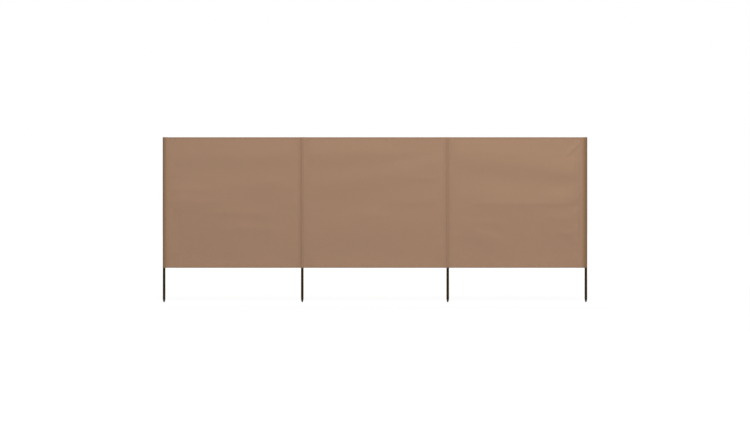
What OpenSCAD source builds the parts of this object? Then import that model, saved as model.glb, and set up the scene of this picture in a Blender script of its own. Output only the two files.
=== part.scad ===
/* [Cloth] */
// Height of the cloth, from the top hem's edge to the bottom hem's edge
cloth_h = 1200; // [800:10:1600]
// Pole spacing of the left and right bays, centre to centre
end_bay = 1270; // [600:5:1300]
// Pole spacing of the middle bay, centre to centre
middle_bay = 1337; // [1330:1:2000]
// Thickness of one layer of cloth
cloth_t = 1; // [0.5:0.1:2]
// Depth of the top and bottom hems
hem_h = 25; // [15:1:50]

/* [Sleeves] */
// Width of an end sleeve, from its outer edge to the panel
end_sleeve_w = 66; // [50:1:100]
// Distance from an inner pole's axis to the panel beside it
seam_reach = 36; // [30:1:60]
// Width of the flat lap where two layers are stitched together
stitch_lap = 8; // [4:0.5:12]
// Half the angle over which the layers of a seam lie against an inner sleeve
seam_wrap = 26; // [10:1:28]
// Slack of a sleeve round its pole
sleeve_slack = 0.3; // [0.2:0.05:1.5]
// Gap in which a seam turns on an inner sleeve
seam_gap = 0.3; // [0.2:0.05:0.8]

/* [Poles] */
// Outer diameter of a pole
pole_d = 24; // [18:0.5:30]
// Wall of the pole's tube
pole_wall = 1; // [0.8:0.1:2]
// Bare length of a pole below the cloth, down to the end of its tip
bare_len = 315; // [150:5:500]

/* [Tips] */
// Length of the rounded point
tip_len = 40; // [20:1:80]
// Diameter of the point's blunt end
tip_flat_d = 10; // [4:0.5:14]
// Length of the spigot that holds the point in its tube
spigot_len = 30; // [10:1:60]
// Gap between the spigot and the tube
spigot_fit = 0.1; // [0.05:0.05:0.3]

/* [Hidden] */
$fn = 96;

// How far a cut runs past the face that it opens
overrun = 1;
// Layers of cloth in a hem and in a stitched lap
layers = 2;
// Steps of a rounded plan on each side of the run, and the angle from the run to its first point
arc_steps = 24;
arc_start = 2;
cloth_colour = [0.62, 0.50, 0.41];
hem_colour = [0.58, 0.46, 0.37];
pole_colour = [0.20, 0.16, 0.10];
tip_colour = [0.15, 0.12, 0.08];

// Places of the poles along the run, with the left inner pole at zero
left_end_x = -end_bay;
left_inner_x = 0;
right_inner_x = middle_bay;
right_end_x = middle_bay + end_bay;

// Radii round a pole, from the tube's bore outwards
pole_r = pole_d / 2;
tube_bore_r = pole_r - pole_wall;
sleeve_in_r = pole_r + sleeve_slack;
sleeve_out_r = sleeve_in_r + cloth_t;
seam_r = sleeve_out_r + seam_gap;

// Heights: the cloth hangs from the closed tops of its sleeves
sleeve_bore_h = cloth_h - cloth_t;
pole_top = bare_len + sleeve_bore_h - sleeve_slack;
panel_h = cloth_h - 2 * hem_h;

// Half the thickness of a stitched lap or a hem
lap_half = layers * cloth_t / 2;

// Plan of an end sleeve: the walls leave the pole as tangents and close at the lap
end_seam = end_sleeve_w - sleeve_out_r;
end_fold = end_seam - stitch_lap;
tear_angle = acos(sleeve_out_r / norm([end_fold, lap_half])) + atan2(lap_half, end_fold);
tear_apex = sleeve_in_r / cos(tear_angle);

// Plan of a seam beside an inner sleeve: two lips that close at the lap
seam_fold = seam_reach - stitch_lap;

// Radius of the point's rounded side, tangent to the tube
point_drop = pole_r - tip_flat_d / 2;
point_r = (tip_len * tip_len + point_drop * point_drop) / (2 * point_drop);

// Points on an arc round a pole, from one angle to another
function arc(r, from_a, to_a) = [
    for (i = [0 : arc_steps])
        let (a = from_a + i * (to_a - from_a) / arc_steps)
        r * [cos(a), sin(a)]
];

// Upper half of an end sleeve's round side, up to where a wall leaves the pole
function round_side(r) = arc(r, 180 - arc_start, tear_angle);

// Both sides of a plan that is symmetric about the run of the cloth, with any point on that line
function both_sides(points, on_line = []) = concat(
    points,
    on_line,
    [for (i = [len(points) - 1 : -1 : 0]) [points[i].x, -points[i].y]]
);

// Steel tube of one pole, standing on the shoulder of its tip
module pole(x) {
    color(pole_colour)
    translate([x, 0, tip_len])
    difference() {
        cylinder(r = pole_r, h = pole_top - tip_len);
        translate([0, 0, -overrun])
            cylinder(r = tube_bore_r, h = pole_top - tip_len + 2 * overrun);
    }
}

// Half profile of the rounded point, from the blunt end up to the tube
module point_profile() {
    intersection() {
        square([pole_r + overrun, tip_len]);
        translate([pole_r - point_r, tip_len])
            circle(r = point_r);
    }
}

// Blunt point with the spigot that plugs the lower end of a pole
module tip(x) {
    color(tip_colour)
    translate([x, 0, 0])
    union() {
        rotate_extrude()
            point_profile();
        translate([0, 0, tip_len])
            cylinder(r = tube_bore_r - spigot_fit, h = spigot_len);
    }
}

// Outside of an end sleeve's plan, round a pole at the origin
module tear_outside() {
    lap = [[end_fold, lap_half], [end_seam, lap_half]];
    polygon(both_sides(concat(round_side(sleeve_out_r), lap)));
}

// Inside of an end sleeve's plan
module tear_inside() {
    polygon(both_sides(round_side(sleeve_in_r), [[tear_apex, 0]]));
}

// Sleeve of an end pole, closed at the top, with its seam towards +X
module end_sleeve() {
    color(cloth_colour)
    translate([0, 0, bare_len])
    difference() {
        linear_extrude(cloth_h)
            tear_outside();
        translate([0, 0, -overrun])
            linear_extrude(sleeve_bore_h + overrun)
                tear_inside();
    }
}

// Tight round sleeve of an inner pole, closed at the top
module inner_sleeve(x) {
    color(cloth_colour)
    translate([x, 0, bare_len])
    difference() {
        cylinder(r = sleeve_out_r, h = cloth_h);
        translate([0, 0, -overrun])
            cylinder(r = sleeve_in_r, h = sleeve_bore_h + overrun);
    }
}

// Seam that joins a panel to an inner sleeve, with its lap towards +X
module seam() {
    lips = arc(seam_r, arc_start, seam_wrap);
    lap = [[seam_fold, lap_half], [seam_reach, lap_half]];
    color(hem_colour)
    translate([0, 0, bare_len])
        linear_extrude(cloth_h)
            polygon(both_sides(concat(lips, lap)));
}

// Single layer of cloth between two places along the run
module panel(from_x, to_x) {
    color(cloth_colour)
    translate([from_x, -cloth_t / 2, bare_len + hem_h])
        cube([to_x - from_x, cloth_t, panel_h]);
}

// Folded edge of a panel, at a height above the bottom of the cloth
module hem(from_x, to_x, at_h) {
    color(hem_colour)
    translate([from_x, -lap_half, bare_len + at_h])
        cube([to_x - from_x, 2 * lap_half, hem_h]);
}

// Ends of the three panels along the run
left_span = [left_end_x + end_seam, left_inner_x - seam_reach];
middle_span = [left_inner_x + seam_reach, right_inner_x - seam_reach];
right_span = [right_inner_x + seam_reach, right_end_x - end_seam];
top_hem_h = cloth_h - hem_h;

// Copy of a shape turned to face the other way along the run
module facing_left() {
    mirror([1, 0, 0])
        children();
}

pole(left_end_x);  // left_end_pole
pole(left_inner_x);  // left_inner_pole
pole(right_inner_x);  // right_inner_pole
pole(right_end_x);  // right_end_pole

tip(left_end_x);  // left_end_tip
tip(left_inner_x);  // left_inner_tip
tip(right_inner_x);  // right_inner_tip
tip(right_end_x);  // right_end_tip

translate([left_end_x, 0, 0]) end_sleeve();  // left_end_sleeve
inner_sleeve(left_inner_x);  // left_inner_sleeve
inner_sleeve(right_inner_x);  // right_inner_sleeve
translate([right_end_x, 0, 0]) facing_left() end_sleeve();  // right_end_sleeve

panel(left_span[0], left_span[1]);  // left_panel
panel(middle_span[0], middle_span[1]);  // middle_panel
panel(right_span[0], right_span[1]);  // right_panel

hem(left_span[0], left_span[1], top_hem_h);  // left_top_hem
hem(middle_span[0], middle_span[1], top_hem_h);  // middle_top_hem
hem(right_span[0], right_span[1], top_hem_h);  // right_top_hem

hem(left_span[0], left_span[1], 0);  // left_bottom_hem
hem(middle_span[0], middle_span[1], 0);  // middle_bottom_hem
hem(right_span[0], right_span[1], 0);  // right_bottom_hem

translate([left_inner_x, 0, 0]) facing_left() seam();  // left_bay_seam
translate([left_inner_x, 0, 0]) seam();  // middle_left_seam
translate([right_inner_x, 0, 0]) facing_left() seam();  // middle_right_seam
translate([right_inner_x, 0, 0]) seam();  // right_bay_seam
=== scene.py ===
import math

import bmesh
import bpy
from mathutils import Matrix, Vector, noise


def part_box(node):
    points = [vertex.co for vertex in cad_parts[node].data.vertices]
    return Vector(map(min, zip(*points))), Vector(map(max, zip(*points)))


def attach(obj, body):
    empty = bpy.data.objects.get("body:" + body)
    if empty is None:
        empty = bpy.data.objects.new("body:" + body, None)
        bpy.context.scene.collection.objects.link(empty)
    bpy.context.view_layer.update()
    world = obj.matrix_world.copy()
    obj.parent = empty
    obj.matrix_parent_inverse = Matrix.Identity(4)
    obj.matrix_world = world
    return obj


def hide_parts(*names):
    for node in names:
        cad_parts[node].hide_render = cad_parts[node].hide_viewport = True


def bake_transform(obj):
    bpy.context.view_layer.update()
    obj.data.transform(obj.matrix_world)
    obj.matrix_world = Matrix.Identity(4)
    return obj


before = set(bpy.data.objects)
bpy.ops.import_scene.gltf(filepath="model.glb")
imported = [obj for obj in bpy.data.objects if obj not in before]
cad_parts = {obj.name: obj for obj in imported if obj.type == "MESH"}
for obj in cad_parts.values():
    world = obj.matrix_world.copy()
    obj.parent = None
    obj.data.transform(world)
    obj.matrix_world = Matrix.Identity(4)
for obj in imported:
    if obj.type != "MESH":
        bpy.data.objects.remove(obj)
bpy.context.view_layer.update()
scene = bpy.context.scene
scene.view_settings.view_transform = "Standard"


# Places read from the frame, in metres

def middleOf(node):
    low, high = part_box(node)
    return (low + high) / 2


def sizeOf(node):
    low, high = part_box(node)
    return high - low


poleNames = ["left_end", "left_inner", "right_inner", "right_end"]
poleX = {name: middleOf(name + "_pole").x for name in poleNames}
poleRadius = sizeOf("left_inner_pole").x / 2
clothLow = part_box("left_inner_sleeve")[0].z
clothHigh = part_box("left_inner_sleeve")[1].z
clothHeight = clothHigh - clothLow
hemDepth = sizeOf("middle_top_hem").z
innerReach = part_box("middle_panel")[0].x - poleX["left_inner"]
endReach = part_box("left_panel")[0].x - poleX["left_end"]

fabric = {
    "thick": 0.0005,        # one layer of cloth
    "slack": 0.0003,        # air between a pole and its sleeve
    "lap": 0.008,           # stitched width beside a sleeve
    "lapGap": 0.0008,       # from the middle of a lap to each of its outer layers
    "hemGap": 0.0009,       # from the front of a hem to its turned-over layer
    "hemTurn": 30,          # degrees between the rows that turn over a hem
    "rowStep": 0.006,       # spacing of the rows up a sheet
    "edgeStep": 0.005,      # spacing of a panel's columns beside a seam
    "middleStep": 0.0105,   # and in the open cloth
    "edgeBand": 0.13,       # width of the closely spaced columns
}
sleeveRadius = poleRadius + fabric["slack"] + fabric["thick"] / 2


# Shader wiring: a socket, the maths on it and the nodes that go with it

class Wire:
    def __init__(self, tree, socket=None):
        self.tree = tree
        self.socket = socket

    def put(self, kind, settings=None, sockets=None, output=0):
        node = self.tree.nodes.new(kind)
        for name, value in (settings or {}).items():
            setattr(node, name, value)
        for name, value in (sockets or {}).items():
            if isinstance(value, Wire):
                self.tree.links.new(value.socket, node.inputs[name])
            else:
                node.inputs[name].default_value = value
        return Wire(self.tree, node.outputs[output] if node.outputs else None)

    def maths(self, operation, *values):
        return self.put("ShaderNodeMath", {"operation": operation}, dict(enumerate(values)))

    def __add__(self, other):
        return self.maths("ADD", self, other)

    def __radd__(self, other):
        return self.maths("ADD", other, self)

    def __sub__(self, other):
        return self.maths("SUBTRACT", self, other)

    def __rsub__(self, other):
        return self.maths("SUBTRACT", other, self)

    def __mul__(self, other):
        return self.maths("MULTIPLY", self, other)

    def __rmul__(self, other):
        return self.maths("MULTIPLY", other, self)

    def sine(self):
        return self.maths("SINE", self)

    def over(self, other):
        return self.maths("GREATER_THAN", self, other)

    def eased(self, low, high):
        return self.put("ShaderNodeMapRange", {"interpolation_type": "SMOOTHSTEP"},
                        {"Value": self, "From Min": low, "From Max": high})

    def axis(self, name):
        return self.put("ShaderNodeSeparateXYZ", None, {0: self}, output=name)

    def place(self):
        return self.put("ShaderNodeTexCoord", output="Object")

    def vector(self, x, y, z=0.0):
        return self.put("ShaderNodeCombineXYZ", None, {"X": x, "Y": y, "Z": z})

    def cloud(self, vector, scale, detail):
        return self.put("ShaderNodeTexNoise", None, {"Vector": vector, "Scale": scale, "Detail": detail})

    # A colour mix has its factor at 0, its colours at 6 and 7, and the mixed colour at output 2
    def tinted(self, colour, other, factor):
        return self.put("ShaderNodeMix", {"data_type": "RGBA"}, {0: factor, 6: colour, 7: other}, output=2)

    def relief(self, height, strength, depth):
        return self.put("ShaderNodeBump", None, {"Height": height, "Strength": strength, "Distance": depth})


def startMaterial(name, plain):
    material = bpy.data.materials.new(name)
    material.use_nodes = True
    tree = material.node_tree
    shader = tree.nodes["Principled BSDF"]
    for socket, value in plain.items():
        shader.inputs[socket].default_value = value
    return material, Wire(tree), shader


def feed(shader, socket, wire):
    wire.tree.links.new(wire.socket, shader.inputs[socket])


# Finishes. Plain values go on the shader's sockets, a pattern is its scale and detail,
# and a relief is the strength and depth of its bump.

clothFinish = {
    "plain": {"Sheen Weight": 0.12, "Sheen Roughness": 0.5, "Specular IOR Level": 0.25},
    "colour": (0.347, 0.209, 0.132, 1),
    "paintedShadeColour": (0.150, 0.078, 0.026, 1),       # painted shade where a pole right behind the cloth keeps light from coming through
    "thread": 0.0011,                       # spacing of the weave
    "streakClose": 260.0,                   # streaks vary fast from thread to thread
    "streakLong": 5.0,                      # and slowly along a thread
    "streakPattern": (1.0, 2.0),
    "mottlePattern": (3.2, 4.0),
    "weaveHighlightShare": 0.10,                          # share of each pattern in the colour
    "streak": 0.07,
    "mottle": 0.05,
    "rough": 0.86,
    "roughWeave": 0.10,
    "roughMottle": 0.08,
    "streakRelief": 0.6,
    "relief": (0.35, 0.0003),
}


def clothMaterial():
    look = clothFinish
    material, wire, shader = startMaterial("wovenTaupeCloth", look["plain"])
    cut = wire.put("ShaderNodeUVMap", {"uv_map": "cut"})
    across = cut.axis("X")
    along = cut.axis("Y")
    warp = (across * (math.pi / look["thread"])).sine()
    weft = (along * (math.pi / look["thread"])).sine()
    warpOnTop = (warp * weft).over(0.0)
    thread = warpOnTop * (warp * warp) + (1 - warpOnTop) * (weft * weft)
    upward = wire.vector(across * look["streakClose"], along * look["streakLong"])
    sideways = wire.vector(across * look["streakLong"], along * look["streakClose"])
    streaks = wire.cloud(upward, *look["streakPattern"]) + wire.cloud(sideways, *look["streakPattern"])
    mottle = wire.cloud(wire.place(), *look["mottlePattern"])
    # The weave's tone is painted highlight on each thread's crown and painted shade between threads; the
    # streaks and mottle are the cloth's own random tone
    tone = (1 + (thread - 0.5) * look["weaveHighlightShare"] + (streaks - 1.0) * look["streak"]
            + (mottle - 0.5) * look["mottle"])
    # Painted shade: the shade attribute mixes in a darker colour behind poles, along hem edges and where end
    # sleeves turn from the light
    shade = wire.put("ShaderNodeAttribute", {"attribute_name": "shade"}, output="Fac")
    colour = wire.tinted(look["colour"], look["paintedShadeColour"], shade)
    lit = wire.put("ShaderNodeVectorMath", {"operation": "SCALE"}, {"Vector": colour, "Scale": tone})
    feed(shader, "Base Color", lit)
    rough = look["rough"] - look["roughWeave"] * thread + look["roughMottle"] * (mottle - 0.5)
    feed(shader, "Roughness", rough)
    feed(shader, "Normal", wire.relief(thread + look["streakRelief"] * streaks, *look["relief"]))
    return material


threadFinish = {
    "plain": {"Sheen Weight": 0.2, "Specular IOR Level": 0.3},
    "dark": (0.285, 0.172, 0.110, 1),
    "pale": (0.345, 0.212, 0.140, 1),
    "fuzzPattern": (900.0, 3.0),
    "rough": 0.55,
    "roughFuzz": 0.25,
}


def threadMaterial():
    look = threadFinish
    material, wire, shader = startMaterial("sewingThread", look["plain"])
    fuzz = wire.cloud(wire.place(), *look["fuzzPattern"])
    feed(shader, "Base Color", wire.tinted(look["dark"], look["pale"], fuzz))
    feed(shader, "Roughness", look["rough"] + look["roughFuzz"] * fuzz)
    return material


poleFinish = {
    "plain": {"Specular IOR Level": 0.10, "Specular Tint": (1.0, 0.68, 0.24, 1)},
    "dark": (0.0180, 0.0102, 0.0016, 1),
    "pale": (0.0265, 0.0152, 0.0034, 1),
    "rubbed": (0.105, 0.078, 0.045, 1),
    "peelPattern": (700.0, 2.0),
    "patchPattern": (9.0, 4.0),
    "rubPattern": (1.0, 3.0),
    "rubClose": 420.0,              # rubbing varies fast round the pole
    "rubLong": 16.0,                # and slowly up it
    "rubRange": (0.58, 0.72),
    "rubHeight": (0.06, 0.26),      # it fades out over this height above the ground
    "rubShare": 0.6,
    "rough": 0.33,
    "roughPatch": 0.12,
    "roughPeel": 0.05,
    "roughRub": 0.22,
    "rubRelief": 0.8,
    "relief": (0.3, 0.0002),
}


def poleMaterial():
    look = poleFinish
    material, wire, shader = startMaterial("brownPoleCoat", look["plain"])
    place = wire.place()
    height = place.axis("Z")
    peel = wire.cloud(place, *look["peelPattern"])
    patch = wire.cloud(place, *look["patchPattern"])
    around = wire.vector(place.axis("X") * look["rubClose"], place.axis("Y") * look["rubClose"],
                         height * look["rubLong"])
    rubs = wire.cloud(around, *look["rubPattern"]).eased(*look["rubRange"])
    rub = rubs * (1 - height.eased(*look["rubHeight"]))
    coat = wire.tinted(look["dark"], look["pale"], patch)
    feed(shader, "Base Color", wire.tinted(coat, look["rubbed"], look["rubShare"] * rub))
    rough = look["rough"] + look["roughPatch"] * patch + look["roughPeel"] * peel + look["roughRub"] * rub
    feed(shader, "Roughness", rough)
    feed(shader, "Normal", wire.relief(peel - look["rubRelief"] * rub, *look["relief"]))
    return material


tipFinish = {
    "plain": {"Specular IOR Level": 0.10, "Specular Tint": (1.0, 0.72, 0.3, 1)},
    "colour": (0.0170, 0.0098, 0.0022, 1),
    "worn": (0.070, 0.048, 0.025, 1),
    "grainPattern": (1500.0, 2.0),
    "scuffPattern": (140.0, 5.0),
    "scuffRange": (0.46, 0.62),
    "wornHeight": (0.0, 0.040),     # the wear fades out up the point
    "rough": 0.46,
    "roughWorn": 0.25,
    "roughGrain": 0.08,
    "wornRelief": 1.5,
    "relief": (0.35, 0.0002),
}


def tipMaterial():
    look = tipFinish
    material, wire, shader = startMaterial("darkPointPlastic", look["plain"])
    place = wire.place()
    grain = wire.cloud(place, *look["grainPattern"])
    scuff = wire.cloud(place, *look["scuffPattern"]).eased(*look["scuffRange"])
    worn = (1 - place.axis("Z").eased(*look["wornHeight"])) * scuff
    feed(shader, "Base Color", wire.tinted(look["colour"], look["worn"], worn))
    feed(shader, "Roughness", look["rough"] + look["roughWorn"] * worn + look["roughGrain"] * grain)
    feed(shader, "Normal", wire.relief(grain + look["wornRelief"] * worn, *look["relief"]))
    return material


clothLook = clothMaterial()
threadLook = threadMaterial()
poleLook = poleMaterial()
tipLook = tipMaterial()
print("materials made:", clothLook.name, threadLook.name, poleLook.name, tipLook.name)


# Small helpers for shapes

def ease(value, low, high):
    t = min(1.0, max(0.0, (value - low) / (high - low)))
    return t * t * (3 - 2 * t)


def steps(low, high, step):
    count = max(1, round(abs(high - low) / step))
    return [low + (high - low) * i / count for i in range(count + 1)]


# Distance of a height from the nearer edge of the cloth, top or bottom
def edgeGap(z):
    return min(z - clothLow, clothHigh - z)


def finishPiece(name, bm, material, smooth=True):
    mesh = bpy.data.meshes.new(name)
    bm.to_mesh(mesh)
    bm.free()
    if smooth:
        mesh.shade_smooth()
    piece = bpy.data.objects.new(name, mesh)
    piece.data.materials.append(material)
    scene.collection.objects.link(piece)
    return piece


# A sheet starts as the flat cut, a grid of columns and rows. Then each point goes where place says,
# which also gives the painted shade of the cloth there.
def sewnSheet(name, columns, rows, place):
    bm = bmesh.new()
    across, up = len(columns) - 1, len(rows) - 1
    bmesh.ops.create_grid(bm, x_segments=across, y_segments=up, size=0.5)
    cut = bm.loops.layers.uv.new("cut")
    shade = bm.verts.layers.float.new("shade")
    spot = {}
    for vert in bm.verts:
        column = columns[round((vert.co.x + 0.5) * across)]
        row = rows[round((vert.co.y + 0.5) * up)]
        spot[vert] = (column["cut"], row["cut"])
        vert.co, vert[shade] = place(column, row)
    for face in bm.faces:
        for loop in face.loops:
            loop[cut].uv = spot[loop.vert]
    bm.normal_update()
    piece = finishPiece(name, bm, clothLook)
    solid = piece.modifiers.new("thickness", "SOLIDIFY")
    solid.thickness = fabric["thick"]
    solid.offset = 0.0
    return piece


# Adds to each station its distance along the cut
def measured(stations, first, second):
    walked = 0.0
    for index, station in enumerate(stations):
        if index:
            before = stations[index - 1]
            walked += math.hypot(station[first] - before[first], station[second] - before[second])
        station["cut"] = walked
    return stations


# Rows of a panel: down behind as the bottom hem, up the front, then over and down behind as the top hem
def panelRows():
    gap = fabric["hemGap"]
    radius = gap / 2
    low = clothLow + radius
    high = clothHigh - radius
    turns = [math.radians(a) for a in range(fabric["hemTurn"], 180, fabric["hemTurn"])]
    stations = [(clothLow + z, gap) for z in steps(hemDepth, radius, fabric["rowStep"])]
    stations += [(low - radius * math.sin(a), radius + radius * math.cos(a)) for a in turns]
    stations += [(z, 0.0) for z in steps(low, high, fabric["rowStep"])]
    stations += [(high + radius * math.sin(a), radius - radius * math.cos(a)) for a in turns]
    stations += [(clothHigh - z, gap) for z in steps(radius, hemDepth, fabric["rowStep"])]
    return measured([{"z": z, "back": back} for z, back in stations], "z", "back")


# Folds of the hung cloth. A fold runs between two places given as shares of its bay, across and up,
# with its crest bowed and its two sides of different width. Heights and widths are in metres.
def fold(start, end, high, above, below, bow=0.0, rise=0.12):
    return {"from": start, "to": end, "high": high, "above": above, "below": below,
            "bow": bow, "rise": rise}


folds = {
    "left": [
        fold((0.04, 0.835), (1.00, 0.880), 0.0046, 0.110, 0.085, -0.006),
        fold((0.00, 0.616), (1.00, 0.625), 0.0046, 0.120, 0.095, -0.006),
        fold((0.05, 0.602), (0.33, 0.588), 0.0024, 0.050, 0.032, 0.004, 0.03),
        fold((0.69, 0.652), (0.82, 0.650), 0.0020, 0.050, 0.040, 0.004),
        fold((-0.10, 0.500), (0.55, 0.470), 0.0080, 0.110, 0.330, 0.010),
        fold((0.07, 0.497), (0.30, 0.489), 0.0038, 0.100, 0.090, 0.004, 0.05),
        fold((0.37, 0.420), (0.74, 0.412), 0.0019, 0.040, 0.035, 0.004),
        fold((0.42, 0.298), (0.79, 0.288), 0.0024, 0.050, 0.055, 0.006),
        fold((0.08, 0.000), (0.95, 0.000), 0.0080, 0.060, 0.060),
    ],
    "middle": [
        fold((0.00, 0.862), (0.62, 0.905), 0.0088, 0.130, 0.125, -0.004, 0.06),
        fold((0.52, 0.862), (0.88, 0.893), 0.0026, 0.060, 0.042, 0.002, 0.06),
        fold((0.84, 0.812), (1.00, 0.828), 0.0030, 0.060, 0.060, 0.002, 0.03),
        fold((0.03, 0.640), (1.00, 0.775), 0.0062, 0.105, 0.120, -0.014, 0.06),
        fold((0.56, 0.508), (0.99, 0.506), 0.0036, 0.130, 0.055, 0.006),
        fold((0.77, 0.684), (0.93, 0.682), 0.0014, 0.030, 0.028, 0.003, 0.03),
        fold((0.44, 0.405), (0.57, 0.400), 0.0026, 0.060, 0.045, 0.004),
        fold((0.15, 0.335), (0.97, 0.340), 0.0034, 0.130, 0.160, 0.006),
        fold((0.05, 0.000), (0.95, 0.000), 0.0090, 0.060, 0.060),
    ],
    "right": [
        fold((0.00, 0.860), (1.00, 0.722), 0.0122, 0.180, 0.124, 0.012, 0.07),
        fold((0.10, 0.516), (1.00, 0.525), 0.0124, 0.160, 0.280, -0.022, 0.07),
        fold((0.22, 0.494), (0.95, 0.494), 0.0022, 0.034, 0.030, -0.004, 0.03),
        fold((0.70, 0.536), (0.98, 0.528), 0.0048, 0.065, 0.075, 0.004, 0.02),
        fold((0.15, 0.284), (0.37, 0.205), 0.0058, 0.055, 0.110, 0.006, 0.08),
        fold((0.10, 0.340), (0.41, 0.335), 0.0026, 0.050, 0.055, 0.004, 0.08),
        fold((0.78, 0.384), (0.97, 0.360), 0.0030, 0.034, 0.050, 0.003, 0.02),
        fold((0.74, 0.735), (0.97, 0.712), 0.0042, 0.090, 0.065, 0.003, 0.02),
        fold((0.79, 0.257), (0.94, 0.262), 0.0016, 0.030, 0.030, 0.003, 0.02),
        fold((0.976, 0.978), (0.886, 0.887), 0.0050, 0.022, 0.018, 0.002, 0.012),
        fold((0.72, 0.300), (1.00, 0.280), 0.0064, 0.260, 0.150, 0.000, 0.02),
        fold((0.10, 0.000), (0.90, 0.000), 0.0040, 0.060, 0.060),
    ],
}
ripple = {
    "broad": 0.0016,        # slow unevenness of the whole sheet
    "broadScale": 2.3,
    "broadUp": 1.6,         # it varies faster up the cloth than across it
    "broadRise": 0.120,     # the cloth lies flat at a seam and rises over this width
    "puckerReach": 0.065,   # length of the short creases that run out from a seam
    "puckerScale": 11.0,
    "puckerLong": 5.0,
    "puckerBand": 0.030,
    "puckerFan": 0.35,      # how far the creases turn up or down as they run out
    "fanScale": 7.0,
    "seamSeed": 20.0,       # sets the creases of a bay's two seams apart
    "foldEnd": 0.06,        # a fold runs out over this length past its ends
    "foldTaper": 0.5,       # share of a fold's height that is lost towards its ends
    "edgeShare": 0.45,      # what is left of the folds at the hems
    "edgeBand": 0.16,
}
bays = {
    "left": {"from": "left_end", "to": "left_inner", "reach": (endReach, innerReach),
             "body": "left_bay", "pucker": (0.0045, 0.0026), "seed": 1.7},
    "middle": {"from": "left_inner", "to": "right_inner", "reach": (innerReach, innerReach),
               "body": "middle_bay", "pucker": (0.0026, 0.0034), "seed": 5.3},
    "right": {"from": "right_inner", "to": "right_end", "reach": (innerReach, endReach),
              "body": "right_bay", "pucker": (0.0034, 0.0080), "seed": 9.1},
}


def foldLift(crest, across, up, width):
    start = Vector((crest["from"][0] * width, crest["from"][1] * clothHeight))
    end = Vector((crest["to"][0] * width, crest["to"][1] * clothHeight))
    run = end - start
    point = Vector((across, up)) - start
    along = point.dot(run) / run.length_squared
    held = min(1.0, max(0.0, along))
    side = Vector((-run.y, run.x)).normalized()
    if side.y < 0:
        side = -side
    off = point.dot(side) - crest["bow"] * math.sin(math.pi * held)
    past = (along - held) * run.length
    wide = crest["above"] if off > 0 else crest["below"]
    runOut = ripple["foldEnd"]
    fade = 1.0 - ripple["foldTaper"] * abs(2 * held - 1) ** 3
    return crest["high"] * fade * math.exp(-(off * off) / (wide * wide) - (past * past) / (runOut * runOut))


# How far the cloth of a bay stands towards the front, at a place across and up the bay
def clothLift(bay, across, up, width, seams):
    seed = bays[bay]["seed"]
    gaps = (max(0.0, across - seams[0]), max(0.0, seams[1] - across))
    nearest = min(gaps)
    broad = Vector((across * ripple["broadScale"], up * ripple["broadScale"] * ripple["broadUp"], seed))
    lift = ripple["broad"] * noise.noise(broad) * ease(nearest, 0.0, ripple["broadRise"])
    for crest in folds[bay]:
        lift += foldLift(crest, across, up, width) * ease(nearest, 0.0, crest["rise"])
    for index, gap in enumerate(gaps):
        fan = up + ripple["puckerFan"] * gap * math.sin(up * ripple["fanScale"] + seed)
        crease = Vector((gap * ripple["puckerLong"], fan * ripple["puckerScale"],
                         seed + ripple["seamSeed"] * index))
        held = math.exp(-gap / ripple["puckerReach"]) * ease(gap, 0.0, ripple["puckerBand"])
        lift += bays[bay]["pucker"][index] * noise.noise(crease) * held
    hemward = ease(min(up, clothHeight - up), 0.0, ripple["edgeBand"])
    return lift * (ripple["edgeShare"] + (1 - ripple["edgeShare"]) * hemward)


# Where the front of a bay's cloth is, at x and z
def frontOf(bay, x, z):
    facts = bays[bay]
    origin = poleX[facts["from"]]
    width = poleX[facts["to"]] - origin
    seams = (facts["reach"][0], width - facts["reach"][1])
    return -clothLift(bay, x - origin, z - clothLow, width, seams)


# Ends of a bay's open cloth, from seam to seam
def spanOf(bay):
    facts = bays[bay]
    return poleX[facts["from"]] + facts["reach"][0], poleX[facts["to"]] - facts["reach"][1]


def panelColumns(low, high):
    band = fabric["edgeBand"]
    spots = steps(low, low + band, fabric["edgeStep"])
    spots += steps(low + band, high - band, fabric["middleStep"])[1:-1]
    spots += steps(high - band, high, fabric["edgeStep"])
    return [{"x": x, "cut": x - low} for x in spots]


# Painted shade: the folded edges of the hems are darker than the open cloth, where the doubled cloth lets
# less light through
hemEdgeShade = {"shade": 0.32, "bottom": (0.0025, 0.0095), "top": (0.004, 0.015)}


def hemShade(z):
    plain = ease(z - clothLow, *hemEdgeShade["bottom"]) * ease(clothHigh - z, *hemEdgeShade["top"])
    return hemEdgeShade["shade"] * (1 - plain)


def makePanel(bay):
    tuck = fabric["lap"] - fabric["slack"]     # the panel's edges lie inside the laps
    low, high = spanOf(bay)
    low -= tuck
    high += tuck
    rows = panelRows()

    def place(column, row):
        y = frontOf(bay, column["x"], row["z"]) + row["back"]
        return Vector((column["x"], y, row["z"])), hemShade(row["z"])

    piece = sewnSheet(bay + "_panel_cloth", panelColumns(low, high), rows, place)
    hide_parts(bay + "_panel", bay + "_top_hem", bay + "_bottom_hem")
    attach(piece, bays[bay]["body"])
    return piece, (high - low, rows[-1]["cut"])


panels = {bay: makePanel(bay) for bay in bays}
print("panels hung:", [piece.name for piece, flat in panels.values()])
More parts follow.
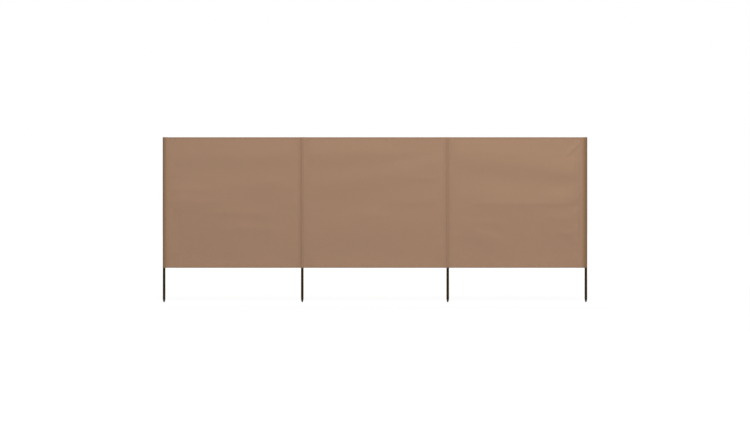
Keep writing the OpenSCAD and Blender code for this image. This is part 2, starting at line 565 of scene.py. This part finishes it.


# Sleeves. In a plan the pole is at zero, the lap is towards +X and the front is towards -Y. The shade
# is painted shade: darker cloth where the pole behind it keeps light from coming through.
innerSleeve = {
    "leave": 61,            # degrees round the pole at which the cloth leaves it
    "lean": 0.006,          # softness of the curve from the pole to the lap
    "shade": 0.14,
    "seed": 7.0,
}
endSleeve = {
    "leave": 74,
    "lean": 0.015,
    "shade": {"left": 0.54, "right": 0.68},
    "slope": {"left": 0.34, "right": 0.52},     # part of the painted shade that fades out only at the panel
    "edge": {"left": 0.24, "right": 0.10},      # more painted shade where the cloth turns away from the light at the outer edge
    "edgeBand": 0.008,
    "seed": 3.0,
}
sleeve = {
    "lapStep": 0.002,       # spacing of the columns over a lap
    "swingSteps": 14,       # columns between the lap and the pole
    "turnStep": 6.0,        # degrees between the columns round the pole
    "topDrop": 0.002,       # the walls begin to close this far below the top
    "shadeAir": 0.007,      # the shade ends where the cloth is this far off the pole
    "bulgeBand": 0.007,     # the lap comes down from a hem over this height
    "bulgeStand": 0.004,    # and off the lap over this width
    "wave": 0.0011,         # unevenness of the cloth between the pole and the lap
    "waveAcross": 9.0,
    "waveUp": 13.0,
    "waveDeep": 20.0,
    "waveAir": 0.006,
    "waveStand": 0.003,
    "waveCalm": (0.02, 0.08),
}
# How a sleeve closes over its pole: rise above the cloth's edge, and share of the plan's depth
sleeveTop = (
    (-0.0010, 0.985), (-0.0002, 0.95), (0.0003, 0.88), (0.0005, 0.75),
    (0.0006, 0.5), (0.0006, 0.25), (0.0006, 0.004),
)


def bezier(points, count):
    curve = []
    for i in range(count + 1):
        t = i / count
        weights = ((1 - t) ** 3, 3 * t * (1 - t) ** 2, 3 * t * t * (1 - t), t ** 3)
        curve.append(sum((w * p for w, p in zip(weights, points)), Vector((0, 0))))
    return curve


# Front half of a plan, from the lap along a soft curve to the pole
def sleeveSide(reach, leave, lean):
    gap = fabric["lapGap"]
    lapEnd = reach - fabric["lap"]
    turn = math.radians(leave)
    touch = sleeveRadius * Vector((math.cos(turn), -math.sin(turn)))
    away = Vector((math.sin(turn), math.cos(turn)))
    lapPoints = [Vector((x, -gap)) for x in steps(reach, lapEnd, sleeve["lapStep"])]
    bends = [Vector((lapEnd, -gap)), Vector((lapEnd - lean, -gap)), touch + lean * away, touch]
    return lapPoints + bezier(bends, sleeve["swingSteps"])[1:]


def roundPole(startDegrees, endDegrees):
    turns = [math.radians(a) for a in steps(startDegrees, endDegrees, sleeve["turnStep"])[1:-1]]
    return [sleeveRadius * Vector((math.cos(a), math.sin(a))) for a in turns]


def mirroredX(points):
    return [Vector((-p.x, p.y)) for p in reversed(points)]


def mirroredY(points):
    return [Vector((p.x, -p.y)) for p in reversed(points)]


# Rows of a sleeve: up from its open bottom, then over the top to the seam above the pole
def sleeveRows():
    walls = steps(clothLow, clothHigh - sleeve["topDrop"], fabric["rowStep"])
    stations = [{"z": z, "keep": 1.0} for z in walls]
    stations += [{"z": clothHigh + rise, "keep": keep} for rise, keep in sleeveTop]
    for station in stations:
        station["over"] = (1 - station["keep"]) * poleRadius
    return measured(stations, "z", "over")


# Painted shade where the cloth lies close to the pole behind it
def poleShade(point, strength):
    air = point.length - sleeveRadius
    return strength * (1 - ease(air, 0.0, sleeve["shadeAir"]))


def innerShade(point):
    return poleShade(point, innerSleeve["shade"])


# Behind the panels a lap lies over the turned-over hems
def hemBulge(z):
    return fabric["hemGap"] * (1 - ease(edgeGap(z), hemDepth, hemDepth + sleeve["bulgeBand"]))


def makeSleeve(name, plan, x, facing, shadeAt, seed):
    columns = measured([{"px": p.x, "py": p.y} for p in plan], "px", "py")
    rows = sleeveRows()

    def place(column, row):
        point = Vector((column["px"], column["py"]))
        z = row["z"]
        air = max(0.0, point.length - sleeveRadius)
        stand = abs(point.y) - fabric["lapGap"]
        spot = Vector((point.x * sleeve["waveAcross"], z * sleeve["waveUp"],
                       seed + point.y * sleeve["waveDeep"]))
        lift = sleeve["wave"] * noise.noise(spot) * ease(edgeGap(z), *sleeve["waveCalm"])
        lift = lift * ease(air, 0.0, sleeve["waveAir"]) * ease(stand, 0.0, sleeve["waveStand"])
        y = point.y + math.copysign(lift, point.y)
        if point.y > 0:
            y += hemBulge(z) * (1 - ease(stand, 0.0, sleeve["bulgeStand"]))
        return Vector((x + facing * point.x, y * row["keep"], z)), shadeAt(point)

    return sewnSheet(name, columns, rows, place), (columns[-1]["cut"], rows[-1]["cut"])


endPlans = {}
innerPlans = {}


def makeEndSleeve(side, facing):
    half = sleeveSide(endReach, endSleeve["leave"], endSleeve["lean"])
    around = roundPole(360 - endSleeve["leave"], endSleeve["leave"])
    plan = half + around + mirroredY(half)
    if facing < 0:
        plan = list(reversed(plan))
    x = poleX[side + "_end"]

    # Painted shade of an end sleeve: a slope from the pole to the panel, more at the outer edge where the
    # cloth turns from the light, and more on the pole
    def shadeAt(point):
        slope = endSleeve["slope"][side] * (1 - ease(point.x, 0.0, endReach))
        edge = endSleeve["edge"][side] * ease(-point.x, 0.0, endSleeve["edgeBand"])
        return slope + edge + poleShade(point, endSleeve["shade"][side] - endSleeve["slope"][side])

    name = side + "_end_sleeve"
    endPlans[side] = (plan, x, facing)
    piece, flat = makeSleeve(name + "_cloth", plan, x, facing, shadeAt, endSleeve["seed"] + facing)
    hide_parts(name)
    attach(piece, side + "_bay")
    side + "_end_pole"
    return piece


# Bakes a piece's placement into its mesh
def bendAtPole(piece, side, x, bend):
    side + "_bay"
    x - bend
    x + bend
    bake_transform(piece)


def makeInnerSleeve(side, outward):
    half = sleeveSide(innerReach, innerSleeve["leave"], innerSleeve["lean"])
    around = roundPole(-innerSleeve["leave"], -180 + innerSleeve["leave"])
    front = list(reversed(half + around + mirroredX(half)))
    back = mirroredY(front)
    x = poleX[side + "_inner"]
    bend = outward * (innerReach - fabric["lap"])
    name = side + "_inner_sleeve"
    made = []
    for face, plan in (("front", front), ("back", back)):
        piece, flat = makeSleeve(name + "_" + face, plan, x, 1, innerShade, innerSleeve["seed"] + x)
        bendAtPole(piece, side, x, bend)
        side + "_inner_pole"
        made.append(piece)
    innerPlans[side] = (front, back, x, bend)
    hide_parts(name, side + "_bay_seam", "middle_" + side + "_seam")
    return made


endSleeves = [makeEndSleeve("left", 1), makeEndSleeve("right", -1)]
innerSleeves = makeInnerSleeve("left", -1) + makeInnerSleeve("right", 1)
print("sleeves sewn:", [piece.name for piece in endSleeves + innerSleeves])


# Stitches lie as short rounded threads on both faces of a hem or a lap
stitch = {
    "long": 0.0034,
    "pitch": 0.0042,
    "thick": 0.00055,
    "hemInset": 0.0215,                 # from the edge of the cloth
    "lapInsets": (0.0022, 0.0058),      # from the seam, two rows
    "lapEnds": 0.002,                   # bare at both ends of a lap
    "sleeveInset": 0.014,
}


# One straight row of stitches along +X from zero, as a mesh to copy from
def stitchRow(length):
    bm = bmesh.new()
    size = Matrix.Diagonal((stitch["long"] / 2, stitch["thick"] / 2, stitch["thick"] / 2, 1))
    first = Matrix.Translation((stitch["pitch"] / 2, 0, 0)) @ size
    bmesh.ops.create_icosphere(bm, subdivisions=1, radius=1.0, matrix=first)
    total = int(length / stitch["pitch"])
    made = 1
    while made < total:
        more = min(made, total - made)
        shift = Vector((made * stitch["pitch"], 0, 0))
        source = [face for face in bm.faces if face.calc_center_median().x < more * stitch["pitch"]]
        copied = bmesh.ops.duplicate(bm, geom=source)["geom"]
        moved = [item for item in copied if isinstance(item, bmesh.types.BMVert)]
        bmesh.ops.translate(bm, vec=shift, verts=moved)
        made += more
    row = bpy.data.meshes.new("stitchRow")
    bm.to_mesh(row)
    bm.free()
    return row


# Lays a row for each of the places, which set a point from its distance along the row and two offsets
def sewRows(bm, length, places):
    row = stitchRow(length)
    for place in places:
        before = len(bm.verts)
        bm.from_mesh(row)
        bm.verts.ensure_lookup_table()
        for vert in bm.verts[before:]:
            vert.co = place(*vert.co)
    bpy.data.meshes.remove(row)


def alongHem(bay, low, z, out):
    def place(along, up, off):
        return Vector((low + along, frontOf(bay, low + along, z) + out + off, z + up))
    return place


def hemStitches(bm, bay, low, high):
    heights = (clothLow + stitch["hemInset"], clothHigh - stitch["hemInset"])
    faces = (-fabric["thick"] / 2, fabric["thick"] / 2 + fabric["hemGap"])
    sewRows(bm, high - low, [alongHem(bay, low, z, out) for z in heights for out in faces])


def alongLap(x, face):
    proud = fabric["lapGap"] + fabric["thick"] / 2

    def place(along, side, off):
        z = clothLow + stitch["lapEnds"] + along
        out = face * proud + (hemBulge(z) if face > 0 else 0.0)
        return Vector((x + side, out + off, z))
    return place


def lapStitches(bm, edge, inward):
    places = [alongLap(edge + inward * inset, face) for inset in stitch["lapInsets"] for face in (-1, 1)]
    sewRows(bm, clothHeight - 2 * stitch["lapEnds"], places)


# The place on a sleeve's plan at a distance along it, and the way out of the sleeve there
def alongPlan(plan, distance):
    for start, end in zip(plan, plan[1:]):
        step = end - start
        if distance <= step.length:
            break
        distance -= step.length
    point = start + step.normalized() * distance
    out = Vector((step.y, -step.x)).normalized()
    return point, out if out.dot(point) > 0 else -out


def sleeveHemStitches(bm, plan, x, facing):
    z = clothLow + stitch["sleeveInset"]

    def place(along, up, off):
        point, out = alongPlan(plan, along)
        point = point + out * (off + fabric["thick"] / 2)
        behind = 0.0
        if point.y > 0:
            behind = hemBulge(z) * (1 - ease(point.y - fabric["lapGap"], 0.0, sleeve["bulgeStand"]))
        return Vector((x + facing * point.x, point.y + behind, z + up))

    sewRows(bm, sum((b - a).length for a, b in zip(plan, plan[1:])), [place])


def finishStitches(name, bm):
    bm.normal_update()
    bmesh.ops.recalc_face_normals(bm, faces=bm.faces)
    piece = finishPiece(name, bm, threadLook)
    return piece


def makeStitches(bay):
    low, high = spanOf(bay)
    bm = bmesh.new()
    hemStitches(bm, bay, low, high)
    lapStitches(bm, low, -1)
    lapStitches(bm, high, 1)
    if bay in endPlans:
        sleeveHemStitches(bm, *endPlans[bay])
    piece = finishStitches(bay + "_bay_stitches", bm)
    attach(piece, bays[bay]["body"])
    return piece


def makeInnerStitches(side):
    front, back, x, bend = innerPlans[side]
    bm = bmesh.new()
    sleeveHemStitches(bm, front, x, 1)
    sleeveHemStitches(bm, back, x, 1)
    bendAtPole(finishStitches(side + "_inner_sleeve_stitches", bm), side, x, bend)


for bay, (panel, flat) in panels.items():
    threads = makeStitches(bay)
    ends = [bays[bay]["from"] + "_pole", bays[bay]["to"] + "_pole"]
for side in innerPlans:
    makeInnerStitches(side)
print("stitches laid")


# Poles and points keep their solids and take their finishes
for name in poleNames:
    for node, look in ((name + "_pole", poleLook), (name + "_tip", tipLook)):
        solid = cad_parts[node]
        solid.data.materials.clear()
        solid.data.materials.append(look)
print("poles finished")


# Floor, light and camera
studio = {
    "pixelsWide": 750,
    "clothPixelsHigh": 130.55,
    "centreBelowTop": 82.72,        # from the cloth's top edge to the middle of the picture, in pixels
    "distance": 14.0,
    "sensor": 36.0,                 # in millimetres
    "clipEnd": 200.0,
    "white": (1, 1, 1, 1),
    "skyLight": 0.25,
    "floorHalf": 60.0,
    "floorColour": (0.45, 0.45, 0.45, 1),
    "floorShown": 1.082,            # glow of the floor as the camera sees it
    "floorGlow": 0.86,              # share of that glow near the part, the rest takes its shadow
    "floorFar": (4.0, 10.0),        # metres from the middle over which the share grows to all
}
metresPerPixel = clothHeight / studio["clothPixelsHigh"]
middleX = (poleX["left_end"] + poleX["right_end"]) / 2
aim = Vector((middleX, 0, clothHigh - studio["centreBelowTop"] * metresPerPixel))


# One for rays from the camera and for its reflections, zero for rays that only carry light
def shownRays(wire):
    path = wire.put("ShaderNodeLightPath").socket.node
    kinds = ("Is Camera Ray", "Is Glossy Ray", "Is Transmission Ray")
    seen, mirrored, through = (Wire(wire.tree, path.outputs[kind]) for kind in kinds)
    return wire.maths("MAXIMUM", seen, wire.maths("MAXIMUM", mirrored, through))


def whiteWorld():
    world = bpy.data.worlds.new("paleRoom")
    scene.world = world
    world.use_nodes = True
    world.node_tree.nodes.clear()
    wire = Wire(world.node_tree)
    soft = wire.put("ShaderNodeBackground", None, {"Color": studio["white"], "Strength": studio["skyLight"]})
    white = wire.put("ShaderNodeBackground", None, {"Color": studio["white"], "Strength": 1.0})
    room = wire.put("ShaderNodeMixShader", None, {0: shownRays(wire), 1: soft, 2: white})
    wire.put("ShaderNodeOutputWorld", None, {"Surface": room})


def paleFloor():
    bm = bmesh.new()
    bmesh.ops.create_grid(bm, x_segments=1, y_segments=1, size=studio["floorHalf"])
    material = bpy.data.materials.new("paleFloor")
    material.use_nodes = True
    material.node_tree.nodes.clear()
    wire = Wire(material.node_tree)
    away = wire.put("ShaderNodeVectorMath", {"operation": "LENGTH"}, {0: wire.place()}, output="Value")
    far = away.eased(*studio["floorFar"])
    matte = wire.put("ShaderNodeBsdfDiffuse", None, {"Color": studio["floorColour"]})
    glow = wire.put("ShaderNodeEmission", None, {"Color": studio["white"], "Strength": studio["floorShown"]})
    share = shownRays(wire) * (studio["floorGlow"] + (1 - studio["floorGlow"]) * far)
    both = wire.put("ShaderNodeMixShader", None, {0: share, 1: matte, 2: glow})
    wire.put("ShaderNodeOutputMaterial", None, {"Surface": both})
    finishPiece("floor", bm, material, smooth=False)


# Places are from the aim, in metres
softboxes = {
    "key": {"at": (0.25, -9.0, 11.5), "size": 5.0, "power": 1790},
    "side": {"at": (2.8, -3.6, 2.6), "size": 2.0, "power": 32},
    "back": {"at": (-1.5, 9.0, 7.0), "size": 6.0, "power": 1080},
}


def hangSoftbox(name, box):
    light = bpy.data.lights.new(name, "AREA")
    light.shape = "SQUARE"
    light.size = box["size"]
    light.energy = box["power"]
    lamp = bpy.data.objects.new(name, light)
    lamp.location = aim + Vector(box["at"])
    lamp.rotation_euler = (aim - lamp.location).to_track_quat("-Z", "Y").to_euler()
    scene.collection.objects.link(lamp)


def placeCamera():
    lens = bpy.data.cameras.new("straightOn")
    lens.sensor_width = studio["sensor"]
    lens.lens = lens.sensor_width * studio["distance"] / (studio["pixelsWide"] * metresPerPixel)
    lens.clip_end = studio["clipEnd"]
    camera = bpy.data.objects.new("straightOn", lens)
    camera.location = aim - Vector((0, studio["distance"], 0))
    camera.rotation_euler = (math.radians(90), 0, 0)
    scene.collection.objects.link(camera)
    scene.camera = camera


whiteWorld()
paleFloor()
for name, box in softboxes.items():
    hangSoftbox(name, box)
placeCamera()
print("studio set")
